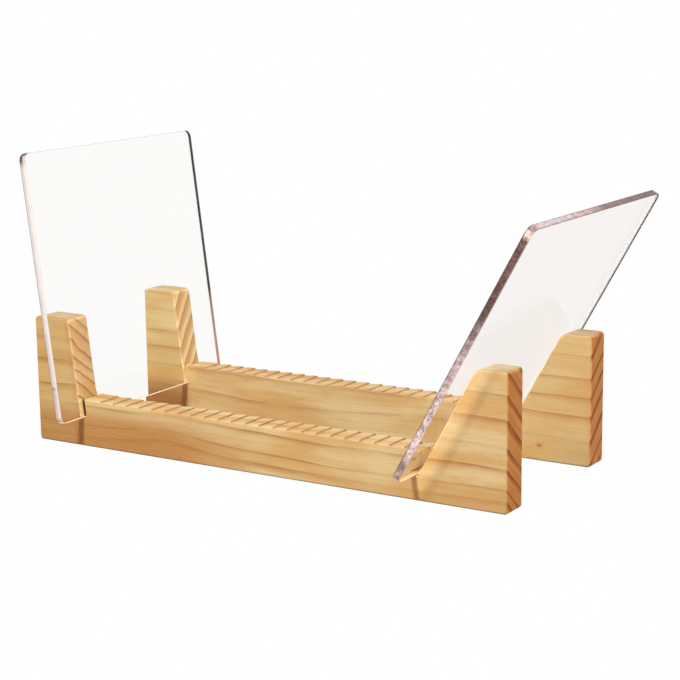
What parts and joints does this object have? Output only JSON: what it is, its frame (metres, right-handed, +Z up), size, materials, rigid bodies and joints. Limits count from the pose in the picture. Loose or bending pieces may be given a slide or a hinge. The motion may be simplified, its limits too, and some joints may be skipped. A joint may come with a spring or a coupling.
{
  "type": "record holder",
  "caption": "Desktop holder for vinyl records: parallel notched wooden rails with sawtooth tops, joined by clear acrylic end panels that drop into angled slots and lean outwards.",
  "frame": {"origin": "middle of the overall box, at the surface the rails stand on", "axes": "+X along the rails, towards the panel that leans out furthest; +Y to the rear; +Z up"},
  "size_m": [0.405, 0.191, 0.2095],
  "materials": {
    "pine_front": "sanded pine, matt clear oil",
    "pine_rear": "sanded pine, matt clear oil",
    "acrylic_left": "clear cast acrylic, polished faces, sawn edges",
    "acrylic_right": "clear cast acrylic, polished faces, sawn edges"
  },
  "bodies": {
    "front_rail": {"front_rail": "pine_front"},
    "rear_rail": {"rear_rail": "pine_rear"},
    "left_panel": {"left_panel": "acrylic_left"},
    "right_panel": {"right_panel": "acrylic_right"}
  },
  "joints": [
    {"name": "rear_rail_slide", "type": "slide", "parent": "front_rail", "child": "rear_rail", "axis": [0, 1, 0], "range_m": [-0.101, 0.02]},
    {"name": "left_panel_lift", "type": "slide", "parent": "front_rail", "child": "left_panel", "axis": [-0.1253, 0, 0.9921], "range_m": [0, 0.08]},
    {"name": "right_panel_lift", "type": "slide", "parent": "front_rail", "child": "right_panel", "axis": [0.4894, 0, 0.8721], "range_m": [0, 0.095]}
  ]
}
